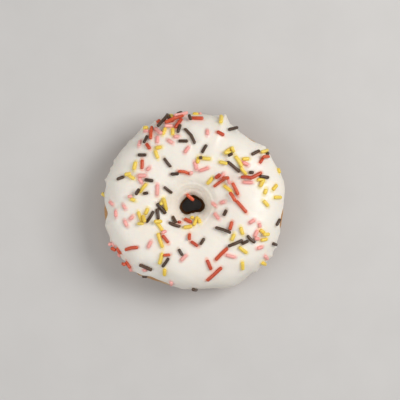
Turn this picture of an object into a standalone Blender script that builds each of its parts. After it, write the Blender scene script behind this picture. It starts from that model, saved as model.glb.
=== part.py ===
"""Ring doughnut with white icing and sugar strands.

A yeast-raised ring, fried and laid flat: its base is on z = 0 and its hole is vertical.
The icing was dipped from above, so it covers the top half as a thin shell that runs down
to the outer equator and into the hole, where the crust bulges inwards below it.  The strands are loose pieces of sugar laid on
the icing, in four colours.  Metres, +Z up; every length below is in millimetres.
"""
import math

import bpy
import numpy as np
from mathutils import Matrix, Vector
from mathutils.bvhtree import BVHTree

MM = 0.001

# Driving dimensions.
DOUGH_TOP = 30.0          # height of the dough's crown above its base
BELLY_LIFT = 14.4         # height of the widest line above the base
BASE_DEPTH = 15.1         # depth of the section below the widest line, before it settles
SECTION_POWER = 2.35      # 2 is an ellipse, more is squarer
GAP = 0.3                 # clearance between pieces that touch on the real thing
ICING_CROWN = 1.3         # icing thickness on the crown
ICING_BEAD = 1.7          # thickness of the bead that gathers at both edges
THINNEST_ICING = 0.7
THICKEST_ICING = 4.0
EDGE_SHARE = 0.55         # share of the thickness that is left at the icing's very edge
STRAND_RADIUS = 0.85      # sugar strands are about 1.7 mm thick
HOLE_CENTRE = (-1.2, -1.3)
RIM_SMOOTHING = 12.0      # degrees of arc over which the dough's rim is averaged
HOLE_SMOOTHING = 25.0     # the same for its hole
SWELLING_SPREAD = 1.5     # a swelling is this many times as wide as its bare window
WAIST = 5.0               # how far the crust bulges into the hole below the icing
WAIST_TOP = 11.0          # height at which the bulge is half grown
WAIST_FADE = 1.2          # it grows over about four times this height

AROUND = 90               # stations round the ring
COVERED = 15              # stations across the part of the section under the icing
INSIDE = 6                # bare stations from the icing's inner edge down to the underside
OUTSIDE = 6               # bare stations from the underside up to the icing's outer edge
UNDERSIDE = 250.0         # section angle where those two meet
SIDES = 8                 # sides of a strand

WELL_ABOVE = 60.0         # a height clear above the whole ring
SHOULDER = 24.0           # height of the icing's shoulder, near its outer edge
STEEPEST = 0.45           # least upward part of a normal that a strand's length is scaled by
LONGEST_STRETCH = 1.5     # most that a slope lengthens a strand seen from above
SETTLING_STEPS = 400
LIFT_STEP = 0.15          # most that a strand is raised in one step
LIFT_MARGIN = 0.01

# The icing's outer edge from above, counter-clockwise from +X.
RIM = [(45.8, 3.2), (45.1, 10.4), (42.5, 17.5), (38.6, 24.7), (35.5, 28.3), (30.0, 32.2),
       (25.5, 35.5), (22.0, 37.2), (20.0, 38.2), (18.0, 40.0), (16.6, 43.0), (15.6, 44.3),
       (14.4, 43.2), (10.0, 43.5), (5.0, 44.9), (-4.0, 45.0), (-12.0, 43.6), (-18.0, 41.8),
       (-22.6, 39.9), (-26.3, 38.9), (-30.0, 34.4), (-34.0, 30.0), (-38.5, 24.5),
       (-41.2, 19.5), (-43.8, 15.0), (-45.2, 11.6), (-45.2, 8.5), (-46.0, 4.0),
       (-45.4, -1.0), (-44.6, -5.0), (-45.0, -9.0), (-45.9, -11.0), (-45.3, -13.5),
       (-43.5, -17.0), (-42.3, -20.5), (-39.6, -24.8), (-36.5, -28.5), (-32.5, -33.4),
       (-29.0, -35.0), (-25.0, -36.8), (-18.0, -39.8), (-10.0, -43.3), (0.0, -44.6),
       (4.0, -45.1), (10.0, -44.3), (14.0, -43.7), (20.0, -42.4), (28.0, -37.6),
       (32.0, -34.9), (37.0, -30.2), (40.5, -24.3), (42.4, -20.5), (44.0, -14.5),
       (45.0, -9.0), (45.5, -4.0)]

# The opening through the icing from above: a bean, wider than it is tall.
HOLE = [(5.4, -1.6), (4.5, 0.5), (2.2, 2.3), (0.0, 3.6), (-2.4, 3.4), (-4.6, 2.3),
        (-6.4, 0.9), (-7.6, -1.2), (-7.8, -3.2), (-6.6, -5.2), (-4.6, -6.3),
        (-1.4, -5.5), (0.9, -4.9), (3.2, -4.8), (5.0, -3.4)]

# Windows where the icing stops above the widest line and the crust shows: direction and
# half width in degrees, degrees of section left bare, swelling of the dough there.
CRUST_WINDOWS = [(187.5, 10.0, 39.0, 2.4), (348.5, 12.0, 28.0, 1.7), (50.0, 13.0, 22.0, 1.0),
                 (239.0, 14.0, 32.0, 3.0)]

# The icing's two edges as section angles, 0 at the rim's widest line and 180 at the hole's,
# and their waves: size in degrees, waves round the ring, phase in radians.
OUTER_EDGE = -4.0
OUTER_WAVES = [(3.0, 3.0, 0.7), (2.0, 7.0, 2.0)]
INNER_EDGE = 177.0
INNER_WAVES = [(3.0, 2.0, 1.0), (2.0, 5.0, 0.0)]

# Runs, where the icing reaches lower and ends in a rounded tip: direction and half width
# in degrees, degrees of section covered further.
RUNS = [(70.5, 3.5, 10.0), (165.8, 4.0, 9.0), (193.5, 3.5, 9.0), (303.0, 8.0, 8.0),
        (27.0, 7.0, 7.0), (268.0, 9.0, 6.0)]

# Strands: x, y, heading in degrees, length seen from above, sideways bow.
RED = [(-21.2, 34.4, 85, 6.5, 0.4), (-25.9, 18.8, 88, 4.8, 0.0), (-5.2, 14.9, -12, 6.2, 0.9),
       (1.4, 41.7, 0, 7.0, 0.0), (-12.3, 40.1, 10, 5.0, 0.0), (13.3, 34.2, -27, 4.3, 0.0),
       (13.6, 10.4, 35, 8.5, 0.0), (20.9, 6.6, -65, 7.0, 0.0), (23.9, -2.3, -48, 8.2, 0.0),
       (30.8, 13.2, 27, 7.0, 0.0), (18.8, -12.0, 75, 4.6, 0.0), (-14.4, -18.6, -53, 5.0, 0.0),
       (0.2, -21.2, -35, 4.4, 0.0), (-31.0, -23.3, 12, 6.8, 0.6), (13.9, -26.0, 45, 8.8, 0.0),
       (7.6, -31.5, -67, 5.6, 0.0), (10.2, -35.7, 43, 10.2, 0.0)]
BROWN = [(-25.9, 23.5, 0, 4.4, 0.0), (-2.2, 32.8, -55, 9.6, 0.8), (5.3, 26.8, 60, 5.0, 0.0),
         (-13.3, 19.9, -52, 5.8, 0.0), (19.5, 36.4, 15, 4.9, 0.0), (30.7, 24.6, 27, 4.7, 0.0),
         (19.9, 17.8, -40, 8.4, 0.0), (-36.6, 11.8, 20, 4.0, 0.0), (-22.7, 11.0, -9, 4.6, 0.0),
         (-28.5, 5.0, 58, 3.8, 0.0), (-13.4, 6.4, -38, 5.2, 0.0), (-16.9, -3.4, -49, 7.0, 0.0),
         (-22.2, -7.5, 58, 7.0, 0.0), (-10.0, -11.9, -18, 6.4, -0.5), (14.9, -14.4, -20, 8.6, 0.0),
         (20.7, -20.5, 22, 8.2, 0.0), (28.7, -18.6, -43, 5.6, 0.0), (4.2, -20.0, 58, 4.0, 0.0),
         (-24.1, -32.4, -22, 7.2, 0.0), (-14.2, -30.2, 55, 5.8, 0.0)]
YELLOW = [(-31.8, 12.9, -35, 5.2, 0.0), (-25.5, 7.1, 52, 5.8, 0.0), (17.5, 26.0, 35, 5.0, 0.0),
          (22.4, 20.4, -58, 6.5, 0.0), (-26.9, -7.5, -68, 6.2, 0.0), (-17.6, -12.4, -56, 5.6, 0.0),
          (-17.0, -19.2, -72, 7.8, 0.0), (24.5, -23.9, -38, 5.2, 0.0), (1.0, -10.4, 65, 4.8, 0.0),
          (41.6, 2.3, 0, 3.8, 0.0), (24.3, -31.7, -85, 4.2, 0.0), (-14.9, 35.3, 70, 4.0, 0.0)]
PINK = [(-18.7, 6.2, 88, 5.6, 0.0), (0.9, 18.5, -75, 4.2, 0.0), (5.1, 16.6, 20, 4.8, 0.0),
        (-5.0, -28.0, 45, 4.2, 0.0), (-22.3, -21.4, 65, 3.8, 0.0), (18.5, -27.0, -15, 5.0, 0.0),
        (27.0, 9.9, -3, 5.0, 0.0)]


def make_material(name, colour, roughness):
    """Return a plain Principled material."""
    material = bpy.data.materials.new(name)
    material.use_nodes = True
    shader = material.node_tree.nodes["Principled BSDF"]
    shader.inputs["Base Color"].default_value = (*colour, 1.0)
    shader.inputs["Roughness"].default_value = roughness
    shader.inputs["Metallic"].default_value = 0.0
    material.diffuse_color = (*colour, 1.0)
    return material


def radius_table(points, centre):
    """Turn outline points into a periodic table of directions and radii about a centre."""
    offsets = np.array(points) - np.array(centre)
    angles = np.mod(np.arctan2(offsets[:, 1], offsets[:, 0]), 2.0 * math.pi)
    order = np.argsort(angles)
    return angles[order], np.hypot(offsets[:, 0], offsets[:, 1])[order]


RIM_TABLE = radius_table(RIM, (0.0, 0.0))
HOLE_TABLE = radius_table(HOLE, HOLE_CENTRE)


def radius_at(theta, table):
    """Read an outline's radius in the directions theta, rounded over a few degrees."""
    total = np.zeros_like(theta)
    for shift, weight in ((-0.03, 0.25), (0.0, 0.5), (0.03, 0.25)):
        total += weight * np.interp(theta + shift, table[0], table[1], period=2.0 * math.pi)
    return total


def rounded(theta, table, reach_deg):
    """An outline's radius averaged over a wide arc, which leaves out its small tips."""
    shifts = np.radians(np.linspace(-reach_deg, reach_deg, 13))
    return np.mean([radius_at(theta + shift, table) for shift in shifts], axis=0)


def window(theta, centre_deg, half_deg):
    """A smooth bump that is 1 in one direction and 0 beyond about two half widths."""
    turn = np.mod(theta - math.radians(centre_deg) + math.pi, 2.0 * math.pi) - math.pi
    return np.exp(-(turn / math.radians(half_deg)) ** 2)


def waved(theta, level, waves):
    """A level with sine waves round the ring added to it."""
    return level + sum(size * np.sin(count * theta + phase) for size, count, phase in waves)


def edge_angles(theta):
    """Section angles, in radians, of the icing's outer and inner edges round the ring."""
    outer = waved(theta, OUTER_EDGE, OUTER_WAVES)
    for centre, half, bare, _ in CRUST_WINDOWS:
        outer = outer + bare * window(theta, centre, half)
    for centre, half, run in RUNS:
        outer = outer - run * window(theta, centre, half)
    inner = waved(theta, INNER_EDGE, INNER_WAVES)
    return np.radians(outer), np.radians(inner)


def dough_outlines(theta):
    """Radii of the dough's rim and of its hole: smooth, and a skin of icing further in."""
    skin = GAP + 0.5 * (ICING_CROWN + ICING_BEAD)
    rim = rounded(theta, RIM_TABLE, RIM_SMOOTHING) - skin
    for centre, half, _, swelling in CRUST_WINDOWS:
        rim = rim + swelling * window(theta, centre, SWELLING_SPREAD * half)
    hole = rounded(theta, HOLE_TABLE, HOLE_SMOOTHING) + skin
    return rim, hole, skin


def section_frame(theta):
    """Return the dough section's centre, half width and outward direction for each theta."""
    rim, hole, _ = dough_outlines(theta)
    heading = np.stack([np.cos(theta), np.sin(theta)], axis=1)
    outside = heading * rim[:, None]
    inside = heading * hole[:, None] + np.array(HOLE_CENTRE)
    centre = 0.5 * (outside + inside)
    half = 0.5 * np.linalg.norm(outside - inside, axis=1)
    return centre, half, (outside - inside) / (2.0 * half[:, None])


def power(value, exponent):
    """Raise to a power and keep the sign."""
    return np.sign(value) * np.abs(value) ** exponent


def section_points(half, angle):
    """Points and outward normals of the dough section, before its base is flattened.

    A superellipse, with a soft bulge towards the hole added on its inner wall.
    """
    rise = np.where(np.sin(angle) < 0.0, BASE_DEPTH, DOUGH_TOP - BELLY_LIFT)
    exponent = 2.0 / SECTION_POWER
    up = BELLY_LIFT + rise * power(np.sin(angle), exponent)
    inner_wall = power(np.clip(-np.cos(angle), 0.0, 1.0), exponent)
    bulge = WAIST * inner_wall / (1.0 + np.exp((up - WAIST_TOP) / WAIST_FADE))
    across = half * power(np.cos(angle), exponent) - bulge
    normal_across = power(np.cos(angle), 2.0 - exponent) / half
    normal_up = power(np.sin(angle), 2.0 - exponent) / rise
    size = np.hypot(normal_across, normal_up)
    return across, up, normal_across / size, normal_up / size


def place(centre, direction, across, up):
    """Turn section coordinates into points of the ring, one row for each station."""
    plan = centre[:, None, :] + direction[:, None, :] * across[:, :, None]
    return np.concatenate([plan, up[:, :, None]], axis=2)


def ring_mesh(name, points, flipped):
    """Close a grid of section loops into one ring-shaped body and shade it smooth.

    Each cell is split in two along a diagonal; columns from `flipped` on use the other
    diagonal, so that two surfaces that face each other are creased the same way.
    """
    rows, columns, _ = points.shape
    faces = []
    for i in range(rows):
        for j in range(columns):
            a = i * columns + j
            b = ((i + 1) % rows) * columns + j
            c = ((i + 1) % rows) * columns + (j + 1) % columns
            d = i * columns + (j + 1) % columns
            faces += [(a, b, c), (a, c, d)] if j < flipped else [(a, b, d), (b, c, d)]
    mesh = bpy.data.meshes.new(name)
    mesh.from_pydata((points.reshape(-1, 3) * MM).tolist(), [], faces)
    mesh.shade_smooth()
    return mesh


def add_object(name, mesh, material, parent):
    """Put a mesh in the scene as a named piece with its material."""
    piece = bpy.data.objects.new(name, mesh)
    mesh.materials.append(material)
    bpy.context.scene.collection.objects.link(piece)
    piece.parent = parent
    return piece


def covered_angles(theta):
    """Section angles under the icing, spaced evenly between its two edges."""
    outer, inner = edge_angles(theta)
    share = np.linspace(0.0, 1.0, COVERED)
    return outer[:, None] + (inner - outer)[:, None] * share


def dough_mesh(theta):
    """The fried ring: a squarish oval section swept round the hole, settled flat below."""
    outer, inner = edge_angles(theta)
    centre, half, direction = section_frame(theta)
    underside = math.radians(UNDERSIDE)
    down = inner[:, None] + (underside - inner)[:, None] * np.linspace(0.0, 1.0, INSIDE + 1)
    up = underside + (outer + 2.0 * math.pi - underside)[:, None] * np.linspace(0.0, 1.0, OUTSIDE + 1)
    angle = np.concatenate([covered_angles(theta), down[:, 1:], up[:, 1:-1]], axis=1)
    across, height, _, _ = section_points(half[:, None], angle)
    points = place(centre, direction, across, np.maximum(height, 0.0))
    return ring_mesh("dough_ring", points, angle.shape[1])


def icing_mesh(theta):
    """The icing: a thin shell over the dough, thicker at its two rounded edges."""
    angle = covered_angles(theta)
    centre, half, direction = section_frame(theta)
    across, up, out, rise = section_points(half[:, None], angle)
    share = np.linspace(0.0, 1.0, COVERED)
    near_edge = np.minimum(share, 1.0 - share) * (COVERED - 1)
    bead = np.exp(-(near_edge - 1.0) ** 2 / 2.0)
    depth = ICING_CROWN + (ICING_BEAD - ICING_CROWN) * bead
    rim, hole, skin = dough_outlines(theta)
    tips = radius_at(theta, RIM_TABLE) - rim - skin
    pooled = hole - skin - radius_at(theta, HOLE_TABLE)
    outside = np.clip(np.cos(angle), 0.0, 1.0) ** 2
    inside = np.clip(-np.cos(angle), 0.0, 1.0) ** 2
    depth = depth + tips[:, None] * outside + pooled[:, None] * inside
    depth = np.clip(depth, THINNEST_ICING, THICKEST_ICING)
    depth = depth * np.where(near_edge < 0.5, EDGE_SHARE, 1.0)
    under = place(centre, direction, across + GAP * out, up + GAP * rise)
    thick = GAP + depth
    over = place(centre, direction, across + thick * out, up + thick * rise)
    points = np.concatenate([over, under[:, ::-1]], axis=1)
    return ring_mesh("white_icing", points, COVERED)


def strand_line(length, bow, share):
    """A strand's centre line in its own frame: along x, bowed towards y."""
    return np.array([0.5 * length * share, bow * (1.0 - share * share), 0.0])


def strand_mesh(name, length, bow):
    """A sugar strand: a round rod with softly rounded ends, straight or bowed."""
    radius = STRAND_RADIUS
    tip = [(0.35 * radius, 0.72 * radius), (0.95 * radius, radius)]
    middle = [(-0.3, radius), (0.3, radius)] if bow else []
    rings = [(-1.0 + 2.0 * inset / length, size) for inset, size in tip]
    rings += middle
    rings += [(1.0 - 2.0 * inset / length, size) for inset, size in reversed(tip)]
    points = [strand_line(length, bow, -1.0)]
    for share, size in rings:
        spot = strand_line(length, bow, share)
        ahead = strand_line(length, bow, share + 0.01) - spot
        side = np.array([-ahead[1], ahead[0], 0.0]) / np.hypot(ahead[0], ahead[1])
        for step in range(SIDES):
            turn = 2.0 * math.pi * step / SIDES
            rise = np.array([0.0, 0.0, math.sin(turn)])
            points.append(spot + size * (math.cos(turn) * side + rise))
    points.append(strand_line(length, bow, 1.0))
    last = len(points) - 1
    faces = []
    for step in range(SIDES):
        ahead = (step + 1) % SIDES
        faces.append((0, 1 + ahead, 1 + step))
        faces.append((last, last - SIDES + step, last - SIDES + ahead))
        for ring in range(len(rings) - 1):
            near = 1 + ring * SIDES
            far = near + SIDES
            faces.append((near + step, near + ahead, far + ahead, far + step))
    mesh = bpy.data.meshes.new(name)
    mesh.from_pydata([tuple(point * MM) for point in points], [], faces)
    mesh.shade_smooth()
    return mesh


def surface_tree(mesh):
    """A search tree over a mesh, for resting strands on it."""
    corners = [vertex.co.copy() for vertex in mesh.vertices]
    return BVHTree.FromPolygons(corners, [tuple(face.vertices) for face in mesh.polygons])


def lie_on(tree, x, y, heading, length):
    """Find where a strand touches the icing, its length along the slope and its axes."""
    spot, normal, _, _ = tree.ray_cast(Vector((x, y, WELL_ABOVE)) * MM, Vector((0.0, 0.0, -1.0)))
    if spot is None:
        spot, normal, _, _ = tree.find_nearest(Vector((x, y, SHOULDER)) * MM)
    plan = Vector((math.cos(math.radians(heading)), math.sin(math.radians(heading)), 0.0))
    slope = -(plan.x * normal.x + plan.y * normal.y) / max(normal.z, STEEPEST)
    along = Vector((plan.x, plan.y, slope))
    stretch = min(along.length, LONGEST_STRETCH)
    along = (along - normal * along.dot(normal)).normalized()
    return spot / MM, normal, along, length * stretch


def settle(tree, lines, spot, normal, along, length, bow):
    """Raise a strand's two ends until it clears the icing and the strands below it."""
    side = normal.cross(along)
    shares = np.linspace(-1.0, 1.0, 13)
    lift = [GAP + STRAND_RADIUS, GAP + STRAND_RADIUS]
    reach = 1.0 - 2.0 * STRAND_RADIUS / length
    for _ in range(SETTLING_STEPS):
        worst = 0.0
        for share in shares * reach:
            line = strand_line(length, bow, share)
            height = 0.5 * (lift[0] * (1.0 - share) + lift[1] * (1.0 + share))
            point = spot + along * line[0] + side * line[1] + normal * height
            near, outward, _, _ = tree.find_nearest(point * MM)
            gap = (point * MM - near).dot(outward) / MM
            short = GAP + 1.02 * STRAND_RADIUS - min(gap, (point * MM - near).length / MM)
            if gap < 0.0:
                short = 1.0
            for other in lines:
                apart = min((point - dot).length for dot in other)
                short = max(short, GAP + 2.05 * STRAND_RADIUS - apart)
            if short > worst:
                worst = short
                worst_share = share
        if worst <= 0.0:
            break
        step = min(worst, LIFT_STEP) + LIFT_MARGIN
        lift[0] += step * (1.0 - worst_share)
        lift[1] += step * (1.0 + worst_share)
    return lift, side


def add_strand(name, spec, material, tree, lines, parent):
    """Make one strand, rest it where it lies and remember its centre line."""
    x, y, heading, length, bow = spec
    spot, normal, along, length = lie_on(tree, x, y, heading, length)
    lift, side = settle(tree, lines, spot, normal, along, length, bow)
    tilt = (along * length + normal * (lift[1] - lift[0])).normalized()
    up = tilt.cross(side).normalized()
    middle = spot + normal * (0.5 * (lift[0] + lift[1]))
    turn = Matrix((tilt, side, up)).transposed().to_4x4()
    strand = add_object(name, strand_mesh(name, length, bow), material, parent)
    strand.matrix_local = Matrix.Translation(middle * MM) @ turn
    dots = []
    for share in np.linspace(-1.0, 1.0, 25):
        line = strand_line(length, bow, share * (1.0 - STRAND_RADIUS / length))
        dots.append(middle + tilt * line[0] + side * line[1])
    lines.append(dots)


def centre_on_base(root):
    """Shift the whole part so that its box stands centred on the origin, base at zero."""
    bpy.context.view_layer.update()
    corners = []
    for piece in root.children:
        corners += [piece.matrix_world @ vertex.co for vertex in piece.data.vertices]
    corners = np.array(corners)
    low = corners.min(axis=0)
    high = corners.max(axis=0)
    root.location = (-0.5 * (low[0] + high[0]), -0.5 * (low[1] + high[1]), -low[2])
    bpy.context.view_layer.update()
    print("shift in mm:", [round(value / MM, 4) for value in root.location])
    print("size in mm:", [round(float(value) / MM, 3) for value in high - low])


def build():
    """Clear the scene and model the doughnut."""
    for old in list(bpy.data.objects):
        bpy.data.objects.remove(old, do_unlink=True)
    root = bpy.data.objects.new("ring_doughnut", None)
    bpy.context.scene.collection.objects.link(root)
    crust = make_material("fried_crust", (0.52, 0.27, 0.09), 0.62)
    icing = make_material("white_icing", (0.88, 0.83, 0.74), 0.42)
    theta = np.linspace(0.0, 2.0 * math.pi, AROUND, endpoint=False)
    add_object("dough_ring", dough_mesh(theta), crust, root)
    shell = icing_mesh(theta)
    add_object("white_icing", shell, icing, root)
    tree = surface_tree(shell)
    sugars = {
        "yellow": (YELLOW, (0.86, 0.60, 0.07)),
        "pink": (PINK, (0.89, 0.33, 0.35)),
        "red": (RED, (0.69, 0.07, 0.03)),
        "brown": (BROWN, (0.07, 0.04, 0.03)),
    }
    lines = []
    for colour, (specs, shade) in sugars.items():
        sugar = make_material("sugar_" + colour, shade, 0.38)
        for number, spec in enumerate(specs, start=1):
            add_strand("strand_%s_%02d" % (colour, number), spec, sugar, tree, lines, root)
    centre_on_base(root)


build()
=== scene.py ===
# %% [markdown]
# A ring doughnut, iced white and scattered with sugar strands.
#
# The real thing is made in three steps, and this script follows them.  A ring of yeast dough
# is fried on one side and then the other, which leaves a pale line round its middle.  It is
# dipped face down in white icing, which runs a little down the sides before it sets.  Sugar
# strands in four colours are then dropped on while the icing is wet.
#
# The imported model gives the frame: where the ring stands, how big it is, and where its
# longest strands lie.  Everything here is built to fit that frame.

# %% Load the frame
import math

import bpy
import numpy as np
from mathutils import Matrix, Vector
from mathutils.bvhtree import BVHTree


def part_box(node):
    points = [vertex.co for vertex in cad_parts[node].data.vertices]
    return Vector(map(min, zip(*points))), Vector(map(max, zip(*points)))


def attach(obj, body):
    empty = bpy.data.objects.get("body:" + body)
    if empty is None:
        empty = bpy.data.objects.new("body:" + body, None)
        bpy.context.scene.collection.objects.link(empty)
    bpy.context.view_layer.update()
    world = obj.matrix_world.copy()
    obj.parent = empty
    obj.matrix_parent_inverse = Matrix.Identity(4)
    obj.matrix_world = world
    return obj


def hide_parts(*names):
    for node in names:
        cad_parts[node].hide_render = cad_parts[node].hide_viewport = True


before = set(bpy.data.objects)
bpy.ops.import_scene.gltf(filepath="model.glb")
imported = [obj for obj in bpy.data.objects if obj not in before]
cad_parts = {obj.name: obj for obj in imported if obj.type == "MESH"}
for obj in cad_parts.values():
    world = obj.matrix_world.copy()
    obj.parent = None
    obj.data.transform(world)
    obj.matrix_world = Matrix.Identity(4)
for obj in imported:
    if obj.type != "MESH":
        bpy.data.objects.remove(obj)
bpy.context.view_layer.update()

MM = 0.001

# %% [markdown]
# The ring is described by two outlines seen from above, the icing's rim and the bean-shaped
# opening, and by one section that is swept round between them.  All lengths are millimetres
# until a mesh is made.  The outlines are a handful of points with straight stretches between
# them; reading them as a radius in each direction, averaged over a small arc, rounds them.

# %% Driving sizes
DOUGH_TOP = (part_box("dough_ring")[1].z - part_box("dough_ring")[0].z) / MM
BELLY_LIFT = 0.48 * DOUGH_TOP     # height of the widest line
BASE_DEPTH = BELLY_LIFT + 0.7     # the underside would reach this deep if it weren't settled
SECTION_POWER = 2.35              # 2 is an ellipse, more is squarer
ICING_DEPTH = 1.8                 # icing over the dough
BEAD = 1.5                        # radius of the rounded edge of the icing
STRAND_RADIUS = 0.85
HOLE_CENTRE = (-1.2, -1.3)
WAIST = 5.0                       # how far the crust bulges into the hole below the icing
WAIST_TOP = 11.0                  # height at which the bulge is half grown
WAIST_FADE = 1.2                  # it grows over about four times this height
print("dough is", round(DOUGH_TOP, 1), "mm high, widest", round(BELLY_LIFT, 1), "mm up")

# %% Outlines seen from above
RIM = [(45.8, 3.2), (45.1, 10.4), (42.5, 17.5), (38.6, 24.7), (35.5, 28.3), (30.0, 32.2),
       (25.5, 35.5), (22.0, 37.2), (20.0, 38.2), (18.0, 40.0), (16.6, 43.0), (15.6, 44.3),
       (14.4, 43.2), (10.0, 43.5), (5.0, 44.9), (-4.0, 45.0), (-12.0, 43.6), (-18.0, 41.8),
       (-22.6, 39.9), (-26.3, 38.9), (-30.0, 34.4), (-34.0, 30.0), (-38.5, 24.5),
       (-41.2, 19.5), (-43.8, 15.0), (-45.2, 11.6), (-45.2, 8.5), (-46.0, 4.0),
       (-45.4, -1.0), (-44.6, -5.0), (-45.0, -9.0), (-45.9, -11.0), (-45.3, -13.5),
       (-43.5, -17.0), (-42.3, -20.5), (-39.6, -24.8), (-36.5, -28.5), (-32.5, -33.4),
       (-29.0, -35.0), (-25.0, -36.8), (-18.0, -39.8), (-10.0, -43.3), (0.0, -44.6),
       (4.0, -45.1), (10.0, -44.3), (14.0, -43.7), (20.0, -42.4), (28.0, -37.6),
       (32.0, -34.9), (37.0, -30.2), (40.5, -24.3), (42.4, -20.5), (44.0, -14.5),
       (45.0, -9.0), (45.5, -4.0)]
HOLE = [(5.4, -1.6), (4.5, 0.5), (2.2, 2.3), (0.0, 3.6), (-2.4, 3.4), (-4.6, 2.3),
        (-6.4, 0.9), (-7.6, -1.2), (-7.8, -3.2), (-6.6, -5.2), (-4.6, -6.3),
        (-1.4, -5.5), (0.9, -4.9), (3.2, -4.8), (5.0, -3.4)]


def radius_table(points, centre):
    """Directions and radii of outline points about a centre, in order of direction."""
    offsets = np.array(points) - np.array(centre)
    angles = np.mod(np.arctan2(offsets[:, 1], offsets[:, 0]), 2.0 * math.pi)
    order = np.argsort(angles)
    return angles[order], np.hypot(offsets[:, 0], offsets[:, 1])[order]


def radius_at(theta, table, reach_deg=1.2):
    """Mean radius of an outline over directions within reach of theta."""
    shifts = np.radians(np.linspace(-reach_deg, reach_deg, 13))
    return np.mean([np.interp(theta + s, *table, period=2.0 * math.pi) for s in shifts], axis=0)


RIM_TABLE = radius_table(RIM, (0.0, 0.0))
HOLE_TABLE = radius_table(HOLE, HOLE_CENTRE)
print("rim is", round(float(RIM_TABLE[1].mean()), 1), "mm in radius, opening",
      round(float(HOLE_TABLE[1].mean()), 1))

# %% [markdown]
# The icing's lower edge isn't even.  It stopped high in four places, where the dough had
# swelled out of its reach, it ran lower in six, and where it let go of the bowl it left small
# torn tips.  Each of these is one smooth bump in direction round the ring, so a short list
# with one line for each says it all.

# %% High and low places of the icing's edge
# Where the icing stops high and the crust shows: direction and half width in degrees,
# degrees of section left bare, swelling of the dough there.
CRUST_WINDOWS = [(187.5, 10.0, 39.0, 2.4), (348.5, 12.0, 28.0, 1.7), (50.0, 13.0, 22.0, 1.0),
                 (239.0, 14.0, 32.0, 3.0)]
# Where the icing ran lower: direction and half width in degrees, degrees covered further.
RUNS = [(70.5, 3.5, 10.0), (165.8, 4.0, 9.0), (193.5, 3.5, 9.0), (303.0, 8.0, 8.0),
        (27.0, 7.0, 7.0), (268.0, 9.0, 6.0)]
# Small torn tips on the rim: direction and half width in degrees, section angle, height.
TIPS = [(70.8, 1.6, 6.0, 0.6), (111.4, 1.3, 14.0, 1.0), (116.0, 1.5, 8.0, 0.8),
        (123.5, 1.8, 12.0, 0.9), (152.5, 1.4, 8.0, 0.7), (158.0, 1.0, 12.0, 0.5),
        (166.0, 1.1, 4.0, 1.0), (193.6, 1.3, 0.0, 1.3), (205.5, 1.2, 6.0, 0.9),
        (218.5, 1.3, 8.0, 0.8), (312.0, 1.6, 6.0, 0.6), (325.2, 1.4, 8.0, 0.7),
        (331.0, 1.2, 4.0, 0.9), (38.0, 1.5, 10.0, 0.9), (137.0, 2.0, 8.0, 0.5),
        (98.0, 1.6, 10.0, 0.5), (20.0, 1.6, 6.0, 0.4)]


def window(theta, centre_deg, half_deg):
    """exp(-(turn / half)^2), where turn is the angle between theta and the centre."""
    turn = np.mod(theta - math.radians(centre_deg) + math.pi, 2.0 * math.pi) - math.pi
    return np.exp(-(turn / math.radians(half_deg)) ** 2)


print(len(CRUST_WINDOWS), "places where the crust shows,", len(RUNS), "runs and", len(TIPS), "tips")

# %% [markdown]
# The section is a superellipse, |x/a|^n + |z/b|^n = 1, which is a little squarer than an
# ellipse, as proved dough is.  Its lower half is slightly deeper than the belly is high, and
# what would fall below the table is pressed flat.  A torus primitive could be pushed into
# this shape, but it would have the same section all round, and this ring doesn't: it is
# wider on one side of the hole than on the other.

# %% Section of the dough
def dough_outlines(theta):
    """Radii of the dough's rim and hole: the icing's outlines, smoothed, a skin further in."""
    rim = radius_at(theta, RIM_TABLE, 12.0) - ICING_DEPTH
    for centre, half, _, swelling in CRUST_WINDOWS:
        rim = rim + swelling * window(theta, centre, 1.5 * half)
    hole = radius_at(theta, HOLE_TABLE, 25.0) + ICING_DEPTH
    return rim, hole


def section_frame(theta):
    """Centre, half width and outward direction of the section in each direction theta."""
    rim, hole = dough_outlines(theta)
    heading = np.stack([np.cos(theta), np.sin(theta)], axis=1)
    outside = heading * rim[:, None]
    inside = heading * hole[:, None] + np.array(HOLE_CENTRE)
    half = 0.5 * np.linalg.norm(outside - inside, axis=1)
    return 0.5 * (outside + inside), half, (outside - inside) / (2.0 * half[:, None])


def power(value, exponent):
    """Sign of the value times its size to the exponent."""
    return np.sign(value) * np.abs(value) ** exponent


def plain_dough(theta, angle):
    """Points and normals of the smooth ring: x = a cos^(2/n), z = b sin^(2/n) in each section.

    On the wall of the hole x loses a bulge, W / (1 + exp((z - top) / fade)).
    """
    centre, half, direction = section_frame(theta)
    rise = np.where(np.sin(angle) < 0.0, BASE_DEPTH, DOUGH_TOP - BELLY_LIFT)
    exponent = 2.0 / SECTION_POWER
    up = BELLY_LIFT + rise * power(np.sin(angle), exponent)
    inner_wall = power(np.clip(-np.cos(angle), 0.0, 1.0), exponent)
    bulge = WAIST * inner_wall / (1.0 + np.exp((up - WAIST_TOP) / WAIST_FADE))
    across = half[:, None] * power(np.cos(angle), exponent) - bulge
    out = power(np.cos(angle), 2.0 - exponent) / half[:, None]
    lift = power(np.sin(angle), 2.0 - exponent) / rise
    size = np.hypot(out, lift)
    plan = centre[:, None, :] + direction[:, None, :] * across[:, :, None]
    points = np.concatenate([plan, up[:, :, None]], axis=2)
    lean = direction[:, None, :] * (out / size)[:, :, None]
    return points, np.concatenate([lean, (lift / size)[:, :, None]], axis=2)


def place_of_ring():
    """How far the outlines' own centre lies from the frame's origin, from the dough's box."""
    theta = np.linspace(0.0, 2.0 * math.pi, 90, endpoint=False)
    points, _ = plain_dough(theta, np.zeros((90, 1)))
    low, high = (np.array(corner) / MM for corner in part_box("dough_ring"))
    return 0.5 * (low + high)[:2] - 0.5 * (points.min(axis=(0, 1)) + points.max(axis=(0, 1)))[:2]


PLACE = place_of_ring()
print("the outlines' centre is at", np.round(PLACE, 2), "mm in the frame")

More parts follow.
